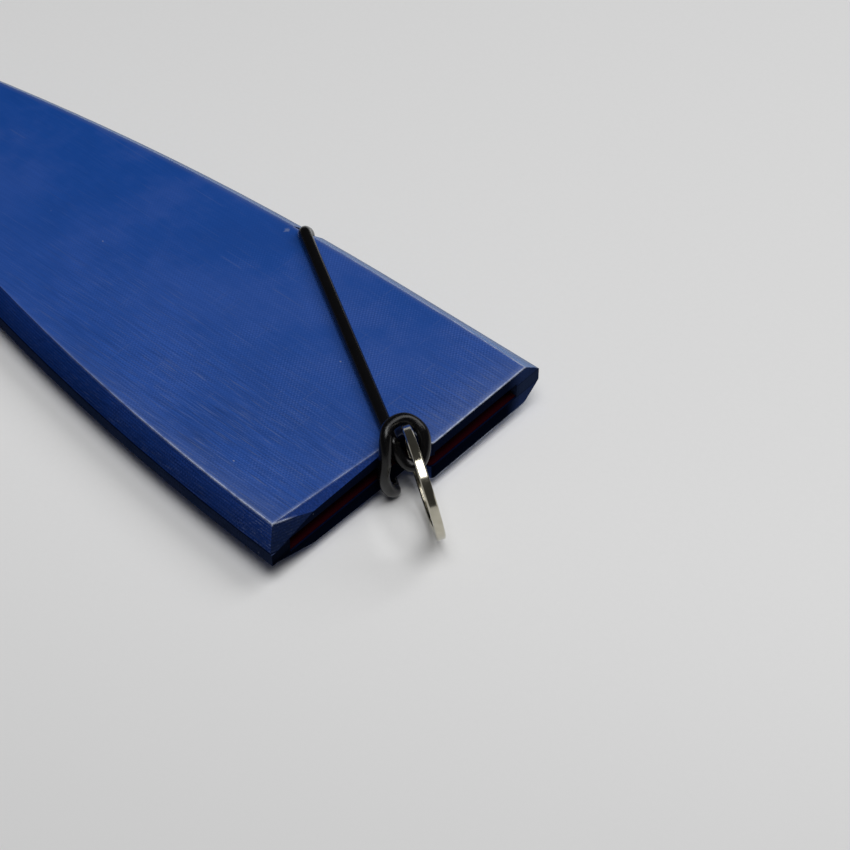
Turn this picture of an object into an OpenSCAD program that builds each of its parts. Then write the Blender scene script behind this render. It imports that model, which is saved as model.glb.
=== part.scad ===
// Blade guard for a kitchen knife: two thin slabs over a spacer layer, closed by an elastic cord with a pull ring.
// Millimetres. The origin is the middle of the blade slot in the plane of the mouth.
// +X points out of the mouth, the way the knife is drawn. +Y points to the spine. +Z is up as the guard lies flat.

/* [Part to draw] */
// Names of the sub-parts
// Sub-part to draw, or all of them

/* [Outline] */
// Height of the guard at the mouth, across the blade
mouth_height = 62; // [56:0.5:70]
// Radius of the long curve along the cutting edge
edge_radius = 540; // [500:5:600]
// Distance in front of the mouth at which the edge curve would be lowest
edge_low_x = 10; // [0:1:20]
// Length of the straight stretch of the spine behind the mouth
spine_straight = 32; // [20:1:45]
// Radius of the long curve along the spine
spine_radius = 585; // [550:5:640]
// Radius of the nose, seen from above
nose_radius = 7; // [5:0.5:9]
// How far the heel is set back from the mouth
heel_step = 5; // [4:0.5:7]
// Height on the blade at which the heel step ends
step_y = 2.5; // [2:0.1:4]
// Radius of the inner corner of the step, where the cord seats
seat_radius = 1.5; // [1:0.1:2]
// Radius of the outer corner of the step
step_round = 0.8; // [0.4:0.1:1.2]

/* [Layers] */
// Thickness of each outer slab
slab_thick = 3.2; // [2.6:0.1:4]
// Thickness of the spacer layer, which is the width of the blade slot
core_thick = 2.6; // [2.2:0.1:3.2]
// Thickness of each liner on the inner faces of the slabs
liner_thick = 0.3; // [0.2:0.05:0.4]
// Distance from the mouth to the start of the upper liner, behind the lead in
top_liner_back = 1.5; // [1:0.25:4]
// Distance from the mouth to the start of the lower liner
bottom_liner_back = 0.3; // [0.2:0.1:2]
// Clearance between the rim of a liner and the spacers
liner_gap = 0.1; // [0.05:0.05:0.3]
// Width of the spacer along the cutting edge
edge_wall = 4.2; // [3:0.1:6]
// Width of the spacer along the spine
spine_wall = 6; // [5:0.1:8]
// Radius of the blind end of the slot
slot_end_radius = 2; // [1.5:0.1:3]

/* [Edge work] */
// Width of the chamfer along the edge and round the nose
chamfer_wide = 3; // [2:0.1:3.4]
// Width of the chamfer along the spine, which is sanded further
spine_chamfer_wide = 3.4; // [3:0.1:3.4]
// Width of the spine chamfer at the mouth, where it is sanded wider
mouth_chamfer_wide = 3.9; // [3.5:0.1:5]
// Length from the mouth over which that chamfer narrows again
mouth_chamfer_long = 16; // [12:1:30]
// Width of the bevel along the heel at the corner
heel_bevel_wide = 2.7; // [2:0.1:3.5]
// Width of that bevel near the step
heel_bevel_narrow = 1; // [0.6:0.1:1.8]
// Length along the heel over which the bevel narrows
heel_bevel_long = 21.8; // [18:0.2:26]
// Angle at which the heel bevel falls
heel_bevel_angle = 17; // [10:1:30]
// Angle at which the facet on the heel corner falls towards the rear
corner_rear_angle = 44; // [35:1:50]
// Angle at which that facet falls towards the edge
corner_edge_angle = 16; // [8:1:20]
// Distance from the chamfer of the edge to the point where the bevel and the facet meet
corner_inset = 0.2; // [0.1:0.1:0.5]
// Height of the lead in under the upper slab, at the mouth of the slot
lead_high = 0.7; // [0.3:0.1:1]
// Depth of the lead in under the upper slab
lead_deep = 0.9; // [0.5:0.1:1.4]

/* [Cord notch] */
// Distance from the mouth to the middle of the notch in the spine
notch_x = 53.9; // [40:0.1:70]
// Width of the notch along the spine
notch_wide = 3.6; // [3.5:0.1:4.2]
// Depth of the notch below the straight stretch of the spine
notch_deep = 4; // [3.6:0.1:4.1]
// Clearance round the cord in the seats filed for it at both ends of the notch
seat_gap = 0.12; // [0.1:0.01:0.2]

/* [Cord and ring] */
// Diameter of the elastic cord
cord_d = 2.4; // [2:0.1:2.5]
// Diameter of the cord in the hitch, where it is pulled tight
hitch_d = 2.2; // [1.8:0.1:2.2]
// Clearance between the cord and the faces it lies on
cord_lift = 0.05; // [0.02:0.01:0.1]
// Gap between two lengths of the cord that move apart
cord_joint_gap = 0.1; // [0.1:0.05:0.3]
// Outer diameter of the pull ring
ring_outer_d = 20; // [19.4:0.1:20.2]
// Width of the ring's band, seen along its rim
ring_wide = 1.6; // [1.2:0.1:1.8]
// Thickness of the ring's band, from the outside to the hole
ring_band = 1.8; // [1.4:0.1:2]
// Small chamfer on all four edges of the band
ring_chamfer = 0.2; // [0.1:0.05:0.35]

/* [Hidden] */
half_core = core_thick / 2;
top_z = half_core + slab_thick;
spine_y = mouth_height / 2;
cord_r = cord_d / 2;
cord_z = top_z + cord_lift + cord_r;
// The cord is flat where the guard stands on it, by a tenth of its diameter
floor_z = -(cord_z + cord_r) + cord_d / 10;
edge_centre = [edge_low_x, sqrt(pow(edge_radius, 2) - pow(edge_low_x + heel_step, 2)) - spine_y];
spine_centre = [-spine_straight, spine_y - spine_radius];
reach = 300;
skin = 0.02;
big_fn = 720;
small_fn = 64;
cord_sides = 8;
notch_floor_y = spine_y - notch_deep;
// The cord stands against the mouth side of the notch, and dips into it through a round seat on each face
cord_notch = [-notch_x + 0.5, notch_floor_y];
seat_top = [-notch_x + 1.6, notch_floor_y - 0.75, top_z + 1.1];
seat_low = [-notch_x + 0.5, notch_floor_y + 1.3, top_z - 1.2];
// The seat runs past the two points of the cord on either side
seat_stretch = 2.4;
// The facet at the mouth ends this far above the spacer layer
facet_lift = 0.15;
span_start = [-notch_x + 2.5, notch_floor_y - 1.36];
span_end = [-4.9, -2];
span_dir = (span_end - span_start) / norm(span_end - span_start);
span_len = norm(span_end - span_start);
// Ring as it hangs in the hitch: its middle, and the direction square to its plane
ring_centre = [4.3, -4.5, 4];
ring_normal = [0.545, 0.82, 0.175];

// Middle of the circle that touches the edge curve and the spine curve from inside, near the nose
function near_nose(from_edge, from_spine) =
    let (along = spine_centre - edge_centre)
    let (apart = norm(along))
    let (foot = (pow(from_edge, 2) - pow(from_spine, 2) + pow(apart, 2)) / (2 * apart))
    let (aside = sqrt(pow(from_edge, 2) - pow(foot, 2)))
    let (u = along / apart)
    edge_centre + foot * u - aside * [-u.y, u.x];

function unit(v) = v / norm(v);

nose = near_nose(edge_radius - nose_radius, spine_radius - nose_radius);
slot_end = near_nose(edge_radius - edge_wall - slot_end_radius, spine_radius - spine_wall - slot_end_radius);
echo(guard_length = nose_radius - nose.x);

// Smooth route through chosen points, with a few steps between each two
function between(a, b, c, d, t) =
    0.5 * (2 * b + (c - a) * t + (2 * a - 5 * b + 4 * c - d) * t * t + (3 * b - a - 3 * c + d) * t * t * t);
function smooth(points, steps) =
    let (n = len(points))
    concat([for (i = [0 : n - 2]) for (k = [0 : steps - 1])
        between(points[max(i - 1, 0)], points[i], points[i + 1], points[min(i + 2, n - 1)], k / steps)],
        [points[n - 1]]);

// A side direction carried along the route without twisting
function carried(tangents, side, i = 0) =
    i == len(tangents) ? [] :
    let (kept = unit(side - (side * tangents[i]) * tangents[i]))
    concat([kept], carried(tangents, kept, i + 1));

// Tube of one radius along a route, with its first and last ends square to the directions given
module tube(path, radius, first_dir, last_dir) {
    n = len(path);
    tangents = [for (i = [0 : n - 1])
        i == 0 ? unit(first_dir) : i == n - 1 ? unit(last_dir) : unit(path[i + 1] - path[i - 1])];
    sides = carried(tangents, [0.1, 0.2, 1]);
    rings = [for (i = [0 : n - 1]) for (k = [0 : cord_sides - 1])
        let (a = 360 * (k + 0.5) / cord_sides)
        path[i] + radius * (cos(a) * sides[i] + sin(a) * cross(tangents[i], sides[i]))];
    walls = [for (i = [0 : n - 2]) for (k = [0 : cord_sides - 1])
        let (m = (k + 1) % cord_sides)
        [i * cord_sides + k, (i + 1) * cord_sides + k, (i + 1) * cord_sides + m, i * cord_sides + m]];
    first = [[for (k = [0 : cord_sides - 1]) k]];
    last = [[for (k = [0 : cord_sides - 1]) n * cord_sides - 1 - k]];
    polyhedron(points = rings, faces = concat(first, walls, last), convexity = 4);
}

// Block on the outer side of the plane through a point, square to a direction
module beyond(point, direction) {
    translate(point)
        rotate([0, acos(direction.z / norm(direction)), atan2(direction.y, direction.x)])
            translate([-reach / 2, -reach / 2, 0])
                cube([reach, reach, reach / 2]);
}

// Everything on the mouth side of the two lines along which the nose touches the long curves
module behind_nose(tip) {
    polygon([
        tip,
        tip + reach * unit(tip - edge_centre),
        [reach, -2 * reach],
        [reach, 2 * reach],
        tip + reach * unit(tip - spine_centre)
    ]);
}

// Flat outline, drawn in from the edge and the spine by the given widths
module outline(from_edge, from_spine, tip, tip_radius) {
    intersection() {
        translate(edge_centre)
            circle(r = edge_radius - from_edge, $fn = big_fn);
        union() {
            intersection() {
                translate(spine_centre)
                    circle(r = spine_radius - from_spine, $fn = big_fn);
                translate([-reach, -reach])
                    square([reach - spine_straight, 2 * reach]);
            }
            translate([-spine_straight, -reach])
                square([spine_straight, reach + spine_y - from_spine]);
        }
        union() {
            behind_nose(tip);
            translate(tip)
                circle(r = tip_radius + skin, $fn = small_fn);
        }
    }
}

// Plan of the heel step, with the seat of the cord in its inner corner
module heel_cut() {
    translate([-heel_step, -reach])
        square([reach, reach + step_y - seat_radius]);
    translate([seat_radius - heel_step, -reach])
        square([reach, reach + step_y]);
    translate([seat_radius - heel_step, step_y - seat_radius])
        circle(r = seat_radius, $fn = small_fn);
    difference() {
        translate([-step_round, step_y - step_round])
            square([2 * step_round, 2 * step_round]);
        translate([-step_round, step_y + step_round])
            circle(r = step_round, $fn = small_fn);
    }
}

// Open notch through the spine, where the cord crosses it
module notch_cut() {
    translate([-notch_x - notch_wide / 2, notch_floor_y])
        square([notch_wide, 2 * notch_deep]);
}

// Seat for the cord where it dips from the upper face into the notch
module cord_seat() {
    down = seat_low - seat_top;
    translate(seat_top - down)
        rotate([0, acos(down.z / norm(down)), atan2(down.y, down.x)])
            cylinder(h = seat_stretch * norm(down), r = cord_r + seat_gap, $fn = small_fn);
}

// Lead in along one stretch of the mouth, for the upper slab
module lead_in(wall_x, low_y, high_y) {
    translate([0, high_y, half_core])
        rotate([90, 0, 0])
            linear_extrude(height = high_y - low_y)
                polygon([
                    [wall_x - lead_deep, 0],
                    [wall_x, lead_high],
                    [wall_x + 1, lead_high],
                    [wall_x + 1, -1],
                    [wall_x - lead_deep, -1]
                ]);
}

// Solid slab with its long chamfers, before the rear is worked
module chamfered_blank() {
    intersection() {
        translate([edge_centre.x, edge_centre.y, half_core])
            cylinder(h = slab_thick, r1 = edge_radius, r2 = edge_radius - chamfer_wide, $fn = big_fn);
        union() {
            intersection() {
                translate([spine_centre.x, spine_centre.y, half_core])
                    cylinder(h = slab_thick, r1 = spine_radius, r2 = spine_radius - spine_chamfer_wide, $fn = big_fn);
                translate([-reach, -reach, 0])
                    cube([reach - spine_straight, 2 * reach, reach]);
            }
            translate([-spine_straight, 0, half_core])
                rotate([90, 0, 90])
                    linear_extrude(height = spine_straight)
                        polygon([[-reach, 0], [spine_y, 0], [spine_y - spine_chamfer_wide, slab_thick], [-reach, slab_thick]]);
        }
        union() {
            translate([0, 0, half_core])
                linear_extrude(height = slab_thick)
                    behind_nose(nose);
            translate([nose.x, nose.y, half_core])
                cylinder(h = slab_thick, r1 = nose_radius + skin, r2 = nose_radius - chamfer_wide + skin, $fn = small_fn);
        }
    }
}

// Bevel along the heel and facet on its corner, which both end at the step
module heel_work() {
    heel_corner = [-heel_step - heel_bevel_wide, -spine_y + chamfer_wide + corner_inset, top_z];
    bevel_line = [heel_bevel_wide - heel_bevel_narrow, heel_bevel_long, 0];
    bevel_fall = [1, 0, -tan(heel_bevel_angle)];
    intersection() {
        union() {
            beyond(heel_corner, cross(bevel_fall, bevel_line));
            beyond(heel_corner, [tan(corner_rear_angle), -tan(corner_edge_angle), 1]);
        }
        translate([-reach / 2, -reach / 2, 0])
            cube([reach, reach / 2 + step_y - seat_radius / 2, reach]);
    }
}

// Slab as it lies on top; the lower one is turned over and has no lead in
module slab() {
    facet_top = [0, spine_y - mouth_chamfer_wide, top_z];
    facet_wall = [0, spine_y, half_core + facet_lift];
    facet_end = [-mouth_chamfer_long, spine_y - spine_chamfer_wide, top_z];
    difference() {
        chamfered_blank();
        translate([0, 0, -1])
            linear_extrude(height = top_z + 2) {
                heel_cut();
                notch_cut();
            }
        cord_seat();
        heel_work();
        beyond(facet_top, cross(facet_wall - facet_top, facet_end - facet_top));
    }
}

// Spacer layer all round the slot, open at the mouth
module spacer_layer() {
    translate([0, 0, -half_core])
        linear_extrude(height = core_thick)
            difference() {
                outline(0, 0, nose, nose_radius);
                outline(edge_wall, spine_wall, slot_end, slot_end_radius);
                heel_cut();
                notch_cut();
            }
}

// Side of the butt joint, near the nose, on which the spine spacer lies
module spine_side() {
    along = unit(slot_end - spine_centre);
    translate([0, 0, -half_core - 1])
        linear_extrude(height = core_thick + 2)
            polygon([slot_end, slot_end + reach * along, [reach, reach], [reach, slot_end.y], [0, 0]]);
}

module liner(back) {
    translate([0, 0, half_core - liner_thick])
        linear_extrude(height = liner_thick)
            difference() {
                outline(edge_wall + liner_gap, spine_wall + liner_gap, slot_end, slot_end_radius - liner_gap - skin);
                translate([-back, 0]) {
                    heel_cut();
                    translate([0, -reach])
                        square([reach, 2 * reach]);
                }
            }
}

// Takes off what would reach below the surface that the guard lies on
module cut_flat() {
    difference() {
        children();
        translate([-reach, -reach, floor_z - cord_d])
            cube([2 * reach, 2 * reach, cord_d]);
    }
}

module span() {
    translate([span_start.x, span_start.y, cord_z])
        rotate([0, 90, atan2(span_dir.y, span_dir.x)])
            cylinder(h = span_len - cord_joint_gap, r = cord_r, $fn = small_fn);
}

module top_slab() {
    color([0.13, 0.25, 0.5])
        difference() {
            slab();
            lead_in(-heel_step, -spine_y + edge_wall, step_y - seat_radius);
            lead_in(0, step_y + step_round, spine_y - spine_wall);
        }
}

module bottom_slab() {
    color([0.13, 0.25, 0.5])
        mirror([0, 0, 1])
            slab();
}

module spine_spacer() {
    color([0.1, 0.17, 0.33])
        intersection() {
            spacer_layer();
            spine_side();
        }
}

module edge_spacer() {
    color([0.1, 0.17, 0.33])
        difference() {
            spacer_layer();
            spine_side();
        }
}

module top_liner() {
    color([0.25, 0.03, 0.05])
        liner(top_liner_back);
}

module bottom_liner() {
    color([0.25, 0.03, 0.05])
        mirror([0, 0, 1])
            liner(bottom_liner_back);
}

// The cord where it crosses the spine, from the upper face through the notch to the lower face
module cord_wrap() {
    x = cord_notch.x;
    y = cord_notch.y;
    upper = [
        [span_start.x, span_start.y, cord_z],
        [x + 1.4, y - 0.97, cord_z - 0.06],
        [x + 0.9, y - 0.43, cord_z - 0.46],
        [x + 0.55, y + 0.17, cord_z - 1.13],
        [x + 0.25, y + 0.75, cord_z - 1.82],
        [x + 0.05, y + 1.2, cord_z - 2.65],
        [x, y + 1.36, cord_z - 3.65],
        [x, y + 1.35, 1]
    ];
    lower = [for (i = [len(upper) - 1 : -1 : 0]) [upper[i].x, upper[i].y, -upper[i].z]];
    into = [-span_dir.x, -span_dir.y, 0];
    color([0.06, 0.06, 0.07])
        cut_flat()
            tube(smooth(concat(upper, [[x, y + 1.3, 0]], lower), 3), cord_r, into, -into);
}

module cord_top_span() {
    color([0.06, 0.06, 0.07])
        span();
}

module cord_bottom_span() {
    color([0.06, 0.06, 0.07])
        cut_flat()
            mirror([0, 0, 1])
                span();
}

// The cord where it is hitched round the ring, as one eye with a tail to the lower face
module cord_hitch() {
    out = [span_dir.x, span_dir.y, 0];
    route = [
        [span_end.x, span_end.y, cord_z],
        [-4.3, -2.3, 5.6],
        [-3.4, -2.6, 4.4],
        [-2.2, -2.3, 2.8],
        [-0.8, -1.6, 2.0],
        [0.0, -0.2, 2.6],
        [-0.5, 1.3, 4.5],
        [-1.7, 2.2, 6.6],
        [-3.7, 2.0, 7.9],
        [-5.1, 0.6, 8.7],
        [-5.5, -2.1, 8.8],
        [-4.6, -3.9, 7.8],
        [-3.7, -5.0, 5.8],
        [-3.3, -5.6, 3.5],
        [-3.4, -5.9, 1.0],
        [-3.4, -5.4, -1.5],
        [-3.3, -4.4, -3.8],
        [-3.6, -3.0, -5.2],
        [-4.3, -2.4, -5.7],
        [span_end.x, span_end.y, -cord_z]
    ];
    color([0.06, 0.06, 0.07])
        cut_flat()
            tube(smooth(route, 3), hitch_d / 2, out, -out);
}

module pull_ring() {
    outer = ring_outer_d / 2;
    half = ring_wide / 2;
    color([0.72, 0.71, 0.66])
        translate(ring_centre)
            rotate([0, acos(ring_normal.z / norm(ring_normal)), atan2(ring_normal.y, ring_normal.x)])
                rotate_extrude($fn = 96)
                    polygon([
                        [outer - ring_band + ring_chamfer, -half],
                        [outer - ring_chamfer, -half],
                        [outer, ring_chamfer - half],
                        [outer, half - ring_chamfer],
                        [outer - ring_chamfer, half],
                        [outer - ring_band + ring_chamfer, half],
                        [outer - ring_band, half - ring_chamfer],
                        [outer - ring_band, ring_chamfer - half]
                    ]);
}

top_slab();
bottom_slab();
spine_spacer();
edge_spacer();
top_liner();
bottom_liner();
cord_wrap();
cord_top_span();
cord_bottom_span();
cord_hitch();
pull_ring();
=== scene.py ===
"""Looks of the knife blade guard: materials, the elastic cord as one piece, floor, light and camera.

Metres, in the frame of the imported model. +X points out of the mouth, +Y to the spine, +Z up.
Materials and the route of the cord are written in millimetres.
"""

import math

import bpy
from mathutils import Matrix, Vector


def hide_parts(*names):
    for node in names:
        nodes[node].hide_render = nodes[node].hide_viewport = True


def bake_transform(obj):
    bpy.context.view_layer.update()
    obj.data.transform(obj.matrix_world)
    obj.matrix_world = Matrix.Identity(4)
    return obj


MM = 0.001

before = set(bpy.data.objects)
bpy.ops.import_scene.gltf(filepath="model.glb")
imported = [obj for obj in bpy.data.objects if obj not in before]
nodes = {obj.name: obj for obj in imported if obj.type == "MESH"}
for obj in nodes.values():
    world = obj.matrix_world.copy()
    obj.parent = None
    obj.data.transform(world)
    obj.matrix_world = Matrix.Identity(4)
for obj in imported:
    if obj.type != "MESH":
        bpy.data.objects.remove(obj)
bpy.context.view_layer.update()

# Heights, radii and places that part.scad uses
TOP_Z = 4.5
CORD_Z = 5.75
FLOOR_Z = -6.71
CORD_R = 1.2
HITCH_R = 1.1
SPAN_START = (-51.4, 25.64)
SPAN_END = (-4.9, -2.0)
SPAN_DIR = (0.8595, -0.5111)
SPINE_Y = 31.0
SPINE_RADIUS = 585.0
SPINE_STRAIGHT = 32.0
EDGE_RADIUS = 540.0
EDGE_CENTRE = (10.0, 508.79, 0.0)
# The bevel on the heel: a point on its border with the upper face, and the direction across it
BEVEL_POINT = (-7.7, -27.8)
BEVEL_ACROSS = (0.997, -0.0777)

# Where the heel meets the edge
HEEL_CORNER = (-6.0, -26.0, 3.0)
# A rubbed spot beside the notch
RUBBED_SPOT = (-56.0, 25.5, 4.5)
# Middle of the painted shade on the upper slab inside the hitch, with its height halved
HITCH_SHADE_SPOT = (-5.2, 1.3, 2.25)

# The cloth in the laminate: thickness of a layer, and radians per millimetre of its two sets of threads
LAYER = 0.34
WEAVE_X = 10.0
WEAVE_Y = 6.6

# How strongly the marks on the laminate change its colour
WEAVE_DEPTH = 0.17
LINE_DEPTH = 1.45
CLOUD_DEPTH = 0.50
GLUE_DEPTH = 0.42
LESS_RED = 0.52
LESS_GREEN = 0.10
THREAD_MARKS = 0.17
STREAK_MARKS = 0.46
SCRATCH_MARKS = 0.12
CROSS_MARKS = 0.14
# Painted sheen near the heel, at the mouth and along the edge
HEEL_SHEEN = 0.06
MOUTH_SHEEN = 0.16
EDGE_SHEEN = 0.16
DASH_MARKS = 0.4
DUST_MARKS = 0.55

# Relief of the laminate, in millimetres
WEAVE_RELIEF = 0.010
LINE_RELIEF = 0.012
GLUE_RELIEF = 0.02

# The cord: straight pieces in a span, between two points of the hitch, and between two points of the wrap
SPAN_STEPS = 40
HITCH_STEPS = 6
WRAP_STEPS = 3
CORD_SIDES = 24

# The floor reaches this far from the middle, in metres, in this many cells each way
FLOOR_HALF = 2.0
FLOOR_CELLS = 8
# The nose may touch the floor only from this distance off the cord on, in metres
NOSE_SIDE = 0.05
# Half the width of the flat on which the lower span stands
FLAT_HALF = 0.75

# A face of a slab is flat when its direction is at least this upright, and a chamfer when it leans this much
UPRIGHT = 0.999
LEANING = 0.3

# Brightness of the world, where 1 is white
WORLD_STRENGTH = 0.05

# A focal length of 2172 pixels in a picture of 850, and where the camera stands and looks
LENS = 92.0
SENSOR = 36.0
CAMERA_PLACE = (0.16433, -0.18436, 0.2715)
CAMERA_RIGHT = Vector((0.7479, 0.6638, 0))
CAMERA_UP = Vector((-0.4815, 0.5425, 0.6884))
CAMERA_FORWARD = Vector((-0.4569, 0.5148, -0.7254))


def rgb(r, g, b):
    """Colour as seen on a screen, 0 to 255, turned to the linear values a shader takes."""
    def one(v):
        v = v / 255.0
        return v / 12.92 if v <= 0.04045 else ((v + 0.055) / 1.055) ** 2.4
    return (one(r), one(g), one(b), 1.0)


def grey(v):
    return (v, v, v, 1)


CUT = rgb(19, 46, 108)
PALE = rgb(101, 113, 146)
# Colour of the painted shade on the end faces at the mouth
RUBBED_BAND = rgb(150, 162, 196)
END_FACE_SHADE = rgb(38, 50, 78)
DUST = rgb(150, 158, 176)
WORN = rgb(190, 198, 218)


class Graph:
    """Adds shader nodes to a material and joins them."""

    def __init__(self, name):
        self.material = bpy.data.materials.new(name)
        self.material.use_nodes = True
        self.tree = self.material.node_tree
        self.tree.nodes.clear()
        out = self.tree.nodes.new("ShaderNodeOutputMaterial")
        self.shader = self.tree.nodes.new("ShaderNodeBsdfPrincipled")
        self.tree.links.new(self.shader.outputs[0], out.inputs[0])
        # Place on the piece, in millimetres
        self.place = self.vector("SCALE", self.node("ShaderNodeTexCoord").outputs["Object"], 1000.0)

    def put(self, socket, value):
        if isinstance(value, bpy.types.NodeSocket):
            self.tree.links.new(value, socket)
        else:
            socket.default_value = value

    def node(self, kind, inputs=None, **settings):
        made = self.tree.nodes.new(kind)
        for key, value in settings.items():
            setattr(made, key, value)
        for key, value in (inputs or {}).items():
            self.put(made.inputs[key], value)
        return made

    def shade(self, **inputs):
        """Sets the shader's own sockets, or joins nodes to them."""
        for key, value in inputs.items():
            self.put(self.shader.inputs[key.replace("_", " ")], value)

    def math(self, operation, a, b=None, c=None, clamp=False):
        made = self.node("ShaderNodeMath", operation=operation, use_clamp=clamp)
        for i, value in enumerate((a, b, c)):
            if value is not None:
                self.put(made.inputs[i], value)
        return made.outputs[0]

    def times(self, first, *others):
        """All the values multiplied."""
        for other in others:
            first = self.math("MULTIPLY", first, other)
        return first

    def most(self, first, *others):
        """The largest of the values."""
        for other in others:
            first = self.math("MAXIMUM", first, other)
        return first

    def less(self, a, b):
        """a - b"""
        return self.math("SUBTRACT", a, b)

    def ramp(self, value, slope, start):
        """value * slope + start"""
        return self.math("MULTIPLY_ADD", value, slope, start)

    def spread(self, value, low, high, to_low=0.0, to_high=1.0):
        """Runs softly from to_low, where value is low, up to to_high, where value is high."""
        made = self.node("ShaderNodeMapRange", interpolation_type="SMOOTHSTEP", clamp=True)
        for i, v in enumerate((value, low, high, to_low, to_high)):
            self.put(made.inputs[i], v)
        return made.outputs[0]

    def vector(self, operation, a, b=None, out=0):
        made = self.node("ShaderNodeVectorMath", operation=operation)
        self.put(made.inputs[0], a)
        if b is not None:
            self.put(made.inputs["Scale" if operation == "SCALE" else 1], b)
        return made.outputs[out]

    def distance(self, a, b):
        return self.vector("DISTANCE", a, b, out="Value")

    def stretched(self, x, y, z):
        """The place with its three directions scaled."""
        return self.vector("MULTIPLY", self.place, (x, y, z))

    def split(self, vector):
        made = self.node("ShaderNodeSeparateXYZ", {0: vector})
        return made.outputs[0], made.outputs[1], made.outputs[2]

    def joined(self, x, y, z):
        return self.node("ShaderNodeCombineXYZ", {0: x, 1: y, 2: z}).outputs[0]

    def noise(self, vector, scale, detail=2.0, rough=0.5):
        inputs = {"Vector": vector, "Scale": scale, "Detail": detail, "Roughness": rough}
        return self.node("ShaderNodeTexNoise", inputs).outputs[0]

    def mix(self, factor, a, b, how="MIX"):
        made = self.node("ShaderNodeMix", data_type="RGBA", blend_type=how)
        made.clamp_factor = True
        self.put(made.inputs[0], factor)
        self.put(made.inputs[6], a)
        self.put(made.inputs[7], b)
        return made.outputs[2]

    def true_normal(self):
        return self.node("ShaderNodeNewGeometry").outputs["True Normal"]

    def rounded(self, radius, samples):
        """Direction of the surface with its sharp edges rounded by a radius in millimetres."""
        return self.node("ShaderNodeBevel", {"Radius": radius * MM}, samples=samples).outputs[0]

    def bump(self, height, distance=1.0, over=None):
        """Relief of a height of 1 over a distance in millimetres, laid over a rounded direction if there is one."""
        inputs = {"Height": height, "Distance": distance * MM, "Strength": 1.0}
        if over is not None:
            inputs["Normal"] = over
        return self.node("ShaderNodeBump", inputs).outputs[0]


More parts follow.
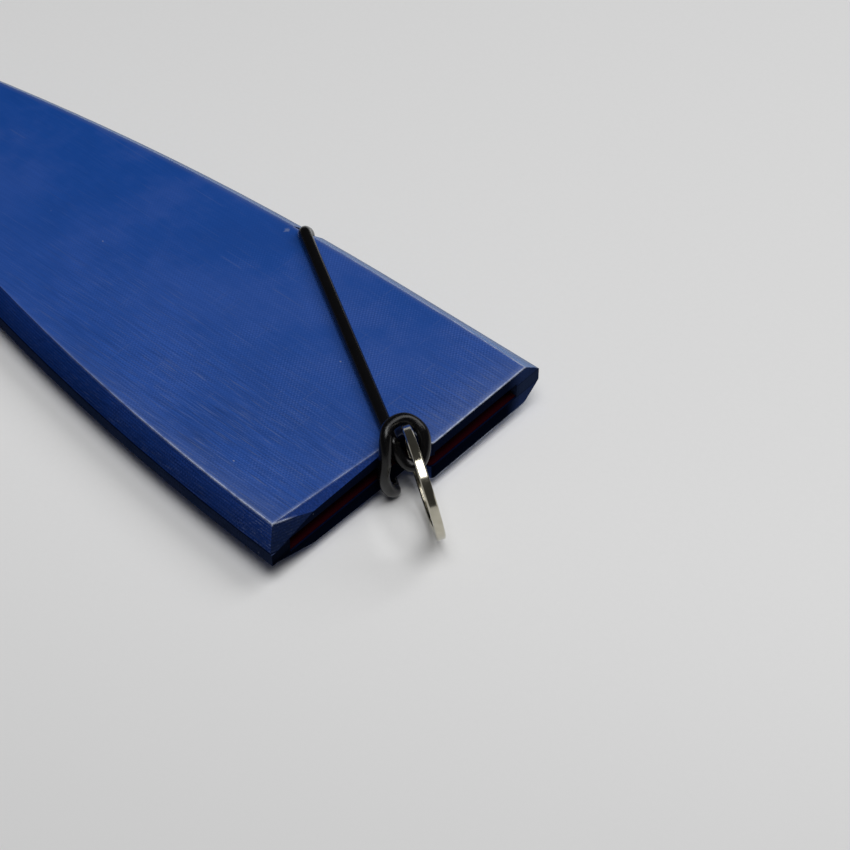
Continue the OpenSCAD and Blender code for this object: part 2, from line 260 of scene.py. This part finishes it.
class Laminate(Graph):
    """Sanded cloth laminate: a method for each kind of mark gives its strength, and the last two use a colour."""

    def __init__(self, name):
        super().__init__(name)
        self.x, self.y, self.z = self.split(self.place)
        self.height = self.math("ABSOLUTE", self.z)
        self.facing = self.split(self.true_normal())
        self.near_heel = self.spread(self.x, -105.0, -4.0)
        # 1 on the faces that cut across the layers, 0 on the flat ones
        self.across = self.spread(self.math("ABSOLUTE", self.facing[2]), 0.98, 0.8)

        # Distance from the curve of the spine, and from the curve of the edge
        bent_x = self.math("MINIMUM", self.math("ADD", self.x, SPINE_STRAIGHT), 0.0)
        reach = self.joined(bent_x, self.math("ADD", self.y, SPINE_RADIUS - SPINE_Y), 0.0)
        self.from_spine = self.less(SPINE_RADIUS, self.vector("LENGTH", reach, out="Value"))
        flat_place = self.joined(self.x, self.y, 0.0)
        self.from_edge = self.less(EDGE_RADIUS, self.distance(flat_place, EDGE_CENTRE))

        # Slow wander of the threads, broad clouds, sanding lines along the guard, and how frayed an edge is
        self.wander = self.noise(self.place, 0.35)
        self.clouds = self.noise(self.place, 0.045, 4.0, 0.6)
        self.lines = self.noise(self.stretched(0.11, 4.4, 4.4), 1.0, 2.0, 0.7)
        frayed = self.noise(self.stretched(0.5, 0.5, 1.5), 1.0, 4.0, 0.7)
        self.fray = self.spread(frayed, 0.32, 0.62, 0.35, 1.0)
        # How far up a point is within its layer, 0 to 1
        wavy_height = self.ramp(self.wander, 0.12, self.height)
        self.step = self.math("FRACT", self.math("DIVIDE", wavy_height, LAYER))

    def weave(self, seed):
        """Two crossing sets of threads, shifted from layer to layer. Negative between the threads."""
        layer = self.math("FLOOR", self.math("DIVIDE", self.height, LAYER))
        jump = self.node("ShaderNodeTexWhiteNoise", {"W": self.math("ADD", layer, seed)}, noise_dimensions="1D")
        shift = jump.outputs[0]
        along = self.ramp(self.x, WEAVE_X, self.ramp(self.wander, 3.0, self.times(shift, 6.28)))
        over = self.ramp(self.y, WEAVE_Y, self.ramp(self.wander, -2.5, self.times(shift, 9.4)))
        return self.times(self.math("SINE", along), self.math("SINE", over))

    def weave_seen(self):
        """How plainly the weave shows: most near the heel, and in patches."""
        patches = self.spread(self.noise(self.place, 0.09, 3.0), 0.38, 0.62)
        small_patches = self.spread(self.noise(self.place, 1.7), 0.3, 0.62, 0.25, 1.3)
        return self.times(self.ramp(self.near_heel, 1.1, 0.2), self.ramp(patches, 0.6, 0.4), small_patches)

    def glue(self):
        """Thin darker lines between the layers, where a face cuts across them."""
        return self.times(self.across, self.spread(self.step, 0.30, 0.0))

    def worn_zone(self):
        """The sanding shows most near the edge and near the mouth, and fades towards the nose."""
        zone = self.most(self.spread(self.from_edge, 42.0, 6.0), self.spread(self.x, -18.0, -2.0))
        return self.ramp(self.times(zone, self.spread(self.x, -110.0, -25.0)), 0.86, 0.14)

    def streaks(self):
        return self.spread(self.noise(self.stretched(0.16, 5.6, 5.6), 1.0, 2.0, 0.7), 0.54, 0.72)

    def scratches(self):
        """A few long and broken scratches along the guard."""
        long_marks = self.spread(self.noise(self.stretched(0.012, 3.4, 3.4), 1.0, 1.0), 0.67, 0.73)
        breaks = self.spread(self.noise(self.stretched(0.12, 0.6, 0.6), 1.0, 1.0), 0.53, 0.6)
        return self.times(long_marks, breaks)

    def cross_scratches(self):
        return self.spread(self.noise(self.stretched(2.2, 0.09, 2.2), 1.0), 0.64, 0.74)

    def specks(self):
        """Specks of pale dust, and one rubbed spot beside the notch."""
        cells = self.node("ShaderNodeTexVoronoi", {
            "Vector": self.stretched(0.8, 1.2, 1.0), "Scale": 0.16, "Randomness": 1.0})
        speck = self.spread(cells.outputs["Distance"], 0.036, 0.018)
        speck = self.times(speck, self.spread(self.noise(self.place, 0.2, 1.0), 0.42, 0.52))
        off_spot = self.ramp(self.noise(self.place, 1.6), 1.6, self.distance(self.place, RUBBED_SPOT))
        return self.most(speck, self.spread(off_spot, 1.6, 0.9, 0.0, 0.6))

    def painted_sheen(self):
        """Painted sheen: a soft pale haze near the heel, at the mouth and along the edge, varied by the sanding
        lines.
        """
        at_mouth = self.spread(self.x, -9.0, -0.5)
        at_edge = self.times(self.spread(self.from_edge, 9.0, 3.0), self.less(1.0, self.across))
        painted_sheen = self.ramp(self.near_heel, HEEL_SHEEN, self.times(at_mouth, MOUTH_SHEEN))
        painted_sheen = self.ramp(self.times(at_edge, self.near_heel), EDGE_SHEEN, painted_sheen)
        return self.times(painted_sheen, self.ramp(self.lines, 0.8, 0.6))

    def rubbed_bands(self):
        """Narrow pale bands on the upper face: along the bevel of the heel, the mouth and the edge."""
        off_x = self.math("ADD", self.x, -BEVEL_POINT[0])
        off_y = self.times(self.math("ADD", self.y, -BEVEL_POINT[1]), BEVEL_ACROSS[1])
        past_bevel = self.ramp(off_x, BEVEL_ACROSS[0], off_y)
        at_bevel = self.times(self.spread(past_bevel, -0.7, -0.05), self.spread(past_bevel, 0.3, 0.1),
                              self.spread(self.y, 3.2, 2.2))
        at_lip = self.times(self.spread(self.x, -1.4, -0.1), self.spread(self.y, 2.2, 3.2))
        at_edge = self.times(self.spread(self.from_edge, 3.7, 3.05), self.spread(self.from_edge, 2.7, 2.9),
                             self.near_heel)
        on_face = self.spread(self.height, TOP_Z - 0.5, TOP_Z - 0.2)
        return self.times(self.most(at_bevel, at_lip, at_edge), on_face)

    def dashes(self):
        """Round the heel corner the cut layers show as pale dashes."""
        at_corner = self.spread(self.distance(self.place, HEEL_CORNER), 13.0, 2.0, 0.06, 1.0)
        broken = self.spread(self.noise(self.stretched(1.6, 1.6, 2.4), 1.0, 4.0, 0.8), 0.48, 0.62)
        return self.times(self.spread(self.step, 0.40, 0.75), broken, self.across, at_corner)

    def worn_edges(self):
        """Strongest round the upper and lower faces near the heel, and none at the foot of the bevel."""
        straight = self.vector("DOT_PRODUCT", self.rounded(0.5, 6), self.true_normal(), out="Value")
        edge = self.spread(straight, 0.9985, 0.984)
        on_face = self.spread(self.height, TOP_Z - 0.42, TOP_Z - 0.12)
        foot = self.times(self.spread(self.x, -5.6, -5.3), self.spread(self.y, 2.6, 2.3))
        to_heel = self.spread(self.x, -80.0, -6.0, 0.06, 1.0)
        return self.times(edge, on_face, self.less(1.0, foot), self.fray, to_heel)

    def tinted(self, body, weave_light, glue, worn_zone):
        """The body's colour, lighter and darker by its marks and with patches of a deeper blue."""
        sanded = self.times(self.less(self.lines, 0.5), worn_zone)
        # Painted shade: the cut faces grow darker lower down, towards the middle of the thickness
        shade_lower_down = self.times(self.across, self.spread(self.height, 4.4, 1.2, 0.0, 0.4))
        light = self.times(
            self.ramp(weave_light, WEAVE_DEPTH, 1.0), self.ramp(sanded, LINE_DEPTH, 1.0),
            self.ramp(self.less(self.clouds, 0.5), CLOUD_DEPTH, 1.0), self.ramp(glue, -GLUE_DEPTH, 1.0),
            self.less(1.0, shade_lower_down))
        deep = self.times(
            self.spread(self.clouds, 0.60, 0.44), self.spread(self.from_spine, 45.0, 8.0, 0.35, 1.0),
            self.spread(self.x, -4.0, -20.0, 0.2, 1.0))
        red = self.times(light, self.ramp(deep, -LESS_RED, 1.0))
        green = self.times(light, self.ramp(deep, -LESS_GREEN, 1.0))
        return self.mix(1.0, body, self.joined(red, green, light), "MULTIPLY")

    def darkened(self, colour, slot_shade):
        """Painted shade: darker end faces at the mouth, darker faces inside the slot, and a dark spot on the upper
        slab inside the hitch.
        """
        # Painted shade on the faces towards the mouth, darker low down and lighter near the spine
        rear = self.spread(self.facing[0], 0.45, 0.8)
        grain = self.times(rear, self.spread(self.z, 0.5, -1.0, 0.84, 0.93),
                           self.spread(self.y, 22.0, 27.0, 1.0, 0.24))
        # Painted shade on the faces inside the slot
        inside = self.spread(self.height, 1.5, 1.35, 0.0, slot_shade)
        # A spot of painted shade on the upper slab under the hitch
        off_hitch_shade = self.distance(self.stretched(1.0, 1.0, 0.5), HITCH_SHADE_SPOT)
        hitch_shade = self.ramp(self.noise(self.place, 0.9, 3.0, 0.6), 2.2, off_hitch_shade)
        hitch_shade = self.spread(hitch_shade, 4.3, 2.5, 0.0, 0.92)
        keep = self.less(1.0, self.most(grain, inside, hitch_shade))
        # The end faces are also painted towards the colour of that shade
        colour = self.mix(self.times(rear, 0.6), colour, END_FACE_SHADE)
        return self.mix(1.0, colour, self.joined(keep, keep, keep), "MULTIPLY")


def laminate(name, body, rough, specular, sheen_and_marks, wear,
             pale=PALE, spine_sheen=0.0, slot_shade=0.0, seed=3.0, at_nose=None):
    """A finish of the laminate. The two amounts after specular say how much of the pale marks and painted sheen,
    and of the worn edges, it shows.

    pale is the colour of those marks and of the painted sheen, and at_nose the one that body turns to at the nose.
    """
    g = Laminate(name)
    seen = g.weave_seen()
    weave = g.weave(seed)
    weave_light = g.times(weave, seen)
    glue = g.glue()
    worn_zone = g.worn_zone()
    edge = g.worn_edges()
    # The painted sheen of the spine chamfer fades to the cut colour round the nose
    if at_nose is not None:
        body = g.mix(g.spread(g.x, -128.0, -173.0), body, at_nose)
    colour = g.tinted(body, weave_light, glue, worn_zone)

    threads = g.times(g.spread(weave, 0.25, 0.9), seen, g.near_heel)
    marks = g.math("ADD", g.times(g.scratches(), SCRATCH_MARKS),
                   g.times(g.cross_scratches(), g.near_heel, CROSS_MARKS))
    marks = g.ramp(threads, THREAD_MARKS, marks)
    marks = g.ramp(g.times(g.streaks(), worn_zone), STREAK_MARKS, marks)
    # Painted sheen together with the pale thread, streak and scratch marks
    colour = g.mix(g.times(g.math("ADD", g.painted_sheen(), marks, clamp=True), sheen_and_marks), colour, pale)
    # Painted sheen in a pale band beside the spine chamfer
    colour = g.mix(g.times(g.spread(g.from_spine, 4.5, 3.3), spine_sheen), colour, pale)
    colour = g.mix(g.times(g.dashes(), DASH_MARKS), colour, pale)
    colour = g.mix(g.times(g.rubbed_bands(), sheen_and_marks, g.ramp(g.fray, 0.24, 0.03)), colour, RUBBED_BAND)
    colour = g.darkened(colour, slot_shade)
    colour = g.mix(g.times(g.specks(), DUST_MARKS * sheen_and_marks), colour, DUST)
    colour = g.mix(g.times(edge, wear), colour, WORN)

    roughness = g.ramp(edge, 0.15, g.ramp(g.less(g.lines, 0.5), 0.25, rough))
    relief = g.math("ADD", g.times(weave_light, WEAVE_RELIEF), g.times(g.lines, LINE_RELIEF))
    relief = g.less(relief, g.times(glue, GLUE_RELIEF))
    normal = g.bump(relief, over=g.rounded(0.12, 4))
    g.shade(Base_Color=colour, Roughness=roughness, Normal=normal, Specular_IOR_Level=specular)
    return g.material


def liner_finish():
    """Dark red pressed fibre, matt and a little fuzzy."""
    g = Graph("red_liner")
    fibre = g.noise(g.stretched(1.0, 3.0, 3.0), 2.0, 4.0, 0.7)
    blotch = g.noise(g.place, 0.3)
    colour = g.mix(fibre, rgb(26, 3, 8), rgb(50, 8, 15))
    colour = g.mix(g.times(blotch, 0.4), colour, rgb(20, 3, 6))
    g.shade(Base_Color=colour, Roughness=g.ramp(fibre, 0.2, 0.7), Normal=g.bump(fibre, 0.03),
            Specular_IOR_Level=0.0)
    return g.material


def rubber():
    """Satin black elastic cord with a fine grain and a trace of dust."""
    g = Graph("black_cord")
    grain = g.noise(g.place, 9.0, 3.0, 0.6)
    cloudy = g.noise(g.place, 0.5)
    dust = g.spread(g.noise(g.place, 3.1, 4.0, 0.75), 0.64, 0.74)
    colour = g.mix(cloudy, rgb(5, 5, 6), rgb(11, 10, 12))
    colour = g.mix(g.times(dust, 0.1), colour, rgb(96, 98, 106))
    g.shade(Base_Color=colour, Roughness=g.ramp(grain, 0.12, 0.12), Normal=g.bump(grain, 0.02),
            Specular_IOR_Level=0.3)
    return g.material


def steel():
    """Polished steel with fine turning lines round the band and small handling scratches."""
    g = Graph("polished_steel")
    fine = g.noise(g.stretched(9.0, 9.0, 0.8), 1.0, 3.0, 0.6)
    smear = g.noise(g.place, 0.55, 3.0)
    nick = g.spread(g.noise(g.stretched(1.0, 1.0, 9.0), 1.2), 0.66, 0.72)
    colour = g.mix(smear, rgb(168, 163, 146), rgb(204, 199, 184))
    roughness = g.math("ADD", g.ramp(smear, 0.10, 0.06), g.times(nick, 0.10))
    normal = g.bump(fine, 0.004, over=g.rounded(0.16, 6))
    g.shade(Base_Color=colour, Roughness=roughness, Normal=normal, Metallic=1.0)
    return g.material


def floor_finish():
    """Plain pale studio board, with painted shade that darkens it towards +X and -Y."""
    g = Graph("floor")
    tooth = g.noise(g.place, 1.2, 3.0)
    x, y, _ = g.split(g.place)
    floor_shade_run = g.ramp(x, 0.5, g.times(y, -0.86))
    colour = g.mix(tooth, grey(0.79), grey(0.81))
    # Painted shade across the floor
    colour = g.mix(g.spread(floor_shade_run, -10.0, 120.0), colour, grey(0.68))
    g.shade(Base_Color=colour, Roughness=0.85, Specular_IOR_Level=0.2)
    return g.material


def paint(piece, *materials):
    piece.data.materials.clear()
    for material in materials:
        piece.data.materials.append(material)


def paint_slab(piece):
    """The flat outer face is satin, the spine chamfer is glossy with a lighter colour that is painted sheen, and
    the other faces show the cut cloth.
    """
    paint(piece, face_finish, cut_finish, spine_sheen_finish)
    for face in piece.data.polygons:
        if abs(face.normal.z) > UPRIGHT and abs(face.center.z) > (TOP_Z - 0.01) * MM:
            face.material_index = 0
        elif face.normal.y > LEANING and abs(face.normal.z) > LEANING:
            face.material_index = 2
        else:
            face.material_index = 1


face_finish = laminate("blue_laminate", rgb(38, 74, 149), rough=0.42, specular=0.10,
                       sheen_and_marks=1.0, wear=0.95, spine_sheen=0.32)
cut_finish = laminate("blue_cut_edge", CUT, rough=0.6, specular=0.0,
                      sheen_and_marks=0.3, wear=0.8, slot_shade=0.9)
# The spine chamfer is glossy, and its lighter colour is painted sheen
spine_sheen_finish = laminate("blue_spine_sheen", rgb(38, 105, 178), rough=0.38, specular=0.6,
                        sheen_and_marks=0.4, wear=0.7, at_nose=CUT)
# The core between the slabs is a darker blue laminate, painted darker still as shade
shaded_spacer_finish = laminate("blue_core", rgb(38, 48, 78), rough=0.6, specular=0.0,
                         sheen_and_marks=0.3, wear=0.35, pale=rgb(60, 66, 80), seed=41.0)
liner_material = liner_finish()
for name in ("top_slab", "bottom_slab"):
    paint_slab(nodes[name])
for name in ("spine_spacer", "edge_spacer"):
    paint(nodes[name], shaded_spacer_finish)
for name in ("top_liner", "bottom_liner"):
    paint(nodes[name], liner_material)
paint(nodes["pull_ring"], steel())


def between(a, b, c, d, t):
    """Point of a smooth curve from b to c, as part.scad draws its cord."""
    bend = 2 * a - 5 * b + 4 * c - d
    twist = 3 * b - a - 3 * c + d
    return 0.5 * (2 * b + (c - a) * t + bend * t * t + twist * t ** 3)


def smooth(points, steps):
    points = [Vector(p) for p in points]
    last = len(points) - 1
    made = []
    for i in range(last):
        a, b, c, d = points[max(i - 1, 0)], points[i], points[i + 1], points[min(i + 2, last)]
        made += [between(a, b, c, d, k / steps) for k in range(steps)]
    return made + [points[last]]


def cord_route():
    """The whole loop in millimetres: upper span, hitch, lower span, and over the spine through the notch.

    The second list says where the cord is pulled thin, 0 to 1.
    """
    hitch = smooth([
        (*SPAN_END, CORD_Z), (-4.3, -2.3, 5.6), (-3.4, -2.6, 4.4), (-2.2, -2.3, 2.8),
        (-0.8, -1.6, 2.0), (0.0, -0.2, 2.6), (-0.5, 1.3, 4.5), (-1.7, 2.2, 6.6), (-3.7, 2.0, 7.9),
        (-5.1, 0.6, 8.7), (-5.5, -2.1, 8.8), (-4.6, -3.9, 7.8), (-3.7, -5.0, 5.8), (-3.3, -5.6, 3.5),
        (-3.4, -5.9, 1.0), (-3.4, -5.4, -1.5), (-3.3, -4.4, -3.8), (-3.6, -3.0, -5.2), (-4.3, -2.4, -5.7),
        (*SPAN_END, -CORD_Z)], HITCH_STEPS)
    half = [
        (*SPAN_START, CORD_Z), (-52.0, 26.03, 5.69), (-52.5, 26.57, 5.29), (-52.85, 27.17, 4.62),
        (-53.15, 27.75, 3.93), (-53.35, 28.2, 3.1), (-53.4, 28.36, 2.1), (-53.4, 28.35, 1.0)]
    mirrored = [(x, y, -z) for x, y, z in half]
    wrap = smooth(mirrored + [(-53.4, 28.3, 0.0)] + half[::-1], WRAP_STEPS)
    spans = []
    for z in (CORD_Z, -CORD_Z):
        start, end = Vector((*SPAN_START, z)), Vector((*SPAN_END, z))
        spans.append([start.lerp(end, i / SPAN_STEPS) for i in range(1, SPAN_STEPS)])
    upper, lower = spans
    loop = upper + hitch + lower[::-1] + wrap
    tight = [0.0] * len(upper) + [1.0] * len(hitch) + [0.0] * (len(lower) + len(wrap))
    return loop, tight


def softened(values, rounds):
    """Evens out neighbours round a closed loop."""
    for _ in range(rounds):
        n = len(values)
        values = [(values[i - 1] + values[i] * 2 + values[(i + 1) % n]) * 0.25 for i in range(n)]
    return values


def cord_mesh():
    """One tube round the whole loop, thinner in the hitch and flat where the guard stands on it."""
    loop, tight = cord_route()
    loop = softened(loop, rounds=2)
    tight = softened(tight, rounds=6)
    n = len(loop)
    heading = [(loop[(i + 1) % n] - loop[i - 1]).normalized() for i in range(n)]
    across = Vector((0, 0, 1)) - heading[0] * heading[0].z
    frames = []
    for i in range(n):
        across = (across - heading[i] * across.dot(heading[i])).normalized()
        frames.append(across.copy())
    # The frame comes back turned by some angle, which is spread over the loop so that it closes
    end = (frames[-1] - heading[0] * frames[-1].dot(heading[0])).normalized()
    turn = math.atan2(end.cross(frames[0]).dot(heading[0]), end.dot(frames[0]))
    points = []
    for i in range(n):
        radius = CORD_R + (HITCH_R - CORD_R) * tight[i]
        side = frames[i].cross(heading[i])
        for k in range(CORD_SIDES):
            a = 2 * math.pi * k / CORD_SIDES - turn * i / n
            p = loop[i] + radius * (math.cos(a) * frames[i] + math.sin(a) * side)
            points.append((p.x * MM, p.y * MM, max(p.z, FLOOR_Z) * MM))
    faces = []
    for i in range(n):
        here, ahead = i * CORD_SIDES, ((i + 1) % n) * CORD_SIDES
        for k in range(CORD_SIDES):
            m = (k + 1) % CORD_SIDES
            faces.append((here + k, here + m, ahead + m, ahead + k))
    piece = mesh_piece("elastic_cord", points, faces)
    piece.data.validate()
    piece.data.polygons.foreach_set("use_smooth", [True] * len(piece.data.polygons))
    return piece


def mesh_piece(name, points, faces):
    mesh = bpy.data.meshes.new(name)
    mesh.from_pydata(points, [], faces)
    return placed(name, mesh)


def placed(name, data):
    made = bpy.data.objects.new(name, data)
    bpy.context.scene.collection.objects.link(made)
    return made


cord = cord_mesh()
paint(cord, rubber())
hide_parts("cord_wrap", "cord_top_span", "cord_bottom_span", "cord_hitch")
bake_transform(cord)


def from_cord(x, y):
    """Distance towards the nose from the flat of the cord, in metres."""
    return (x - SPAN_END[0] * MM) * SPAN_DIR[1] - (y - SPAN_END[1] * MM) * SPAN_DIR[0] - FLAT_HALF * MM


# The guard stands on the lower length of its cord and on its nose, so the floor leans by a degree and a half
nose_points = [v.co for v in nodes["bottom_slab"].data.vertices if from_cord(v.co.x, v.co.y) > NOSE_SIDE]
lean = min((p.z - FLOOR_Z * MM) / from_cord(p.x, p.y) for p in nose_points)


def floor_mesh():
    step = 2 * FLOOR_HALF / FLOOR_CELLS
    ticks = [-FLOOR_HALF + i * step for i in range(FLOOR_CELLS + 1)]
    points = [(x, y, FLOOR_Z * MM + lean * from_cord(x, y)) for y in ticks for x in ticks]
    row = len(ticks)
    corners = [j * row + i for j in range(FLOOR_CELLS) for i in range(FLOOR_CELLS)]
    return mesh_piece("floor", points, [(a, a + 1, a + row + 1, a + row) for a in corners])


floor = floor_mesh()
paint(floor, floor_finish())


def softbox(name, place, aim, size, power):
    """A square lamp of a size in metres and a power in watts."""
    lamp = bpy.data.lights.new(name, "AREA")
    lamp.shape = "RECTANGLE"
    lamp.size = lamp.size_y = size
    lamp.energy = power
    made = placed(name, lamp)
    made.location = place
    made.rotation_euler = (Vector(aim) - Vector(place)).to_track_quat("-Z", "Y").to_euler()


softbox("key", place=(0.22, -0.15, 1.08), aim=(-0.05, 0.0, 0.0), size=0.65, power=7.6)
softbox("rear", place=(0.38, 0.72, 0.95), aim=(-0.03, 0.0, 0.0), size=0.8, power=5.8)

world = bpy.data.worlds.new("studio")
bpy.context.scene.world = world
world.use_nodes = True
background = world.node_tree.nodes["Background"]
background.inputs[0].default_value = grey(1)
background.inputs[1].default_value = WORLD_STRENGTH

lens = bpy.data.cameras.new("camera")
lens.lens = LENS
lens.sensor_width = SENSOR
lens.sensor_fit = "HORIZONTAL"
lens.clip_start = 0.01
camera = placed("camera", lens)
turned = Matrix((CAMERA_RIGHT, CAMERA_UP, -CAMERA_FORWARD)).transposed().to_4x4()
camera.matrix_world = Matrix.Translation(CAMERA_PLACE) @ turned
bpy.context.scene.camera = camera
bpy.context.scene.view_settings.view_transform = "Standard"
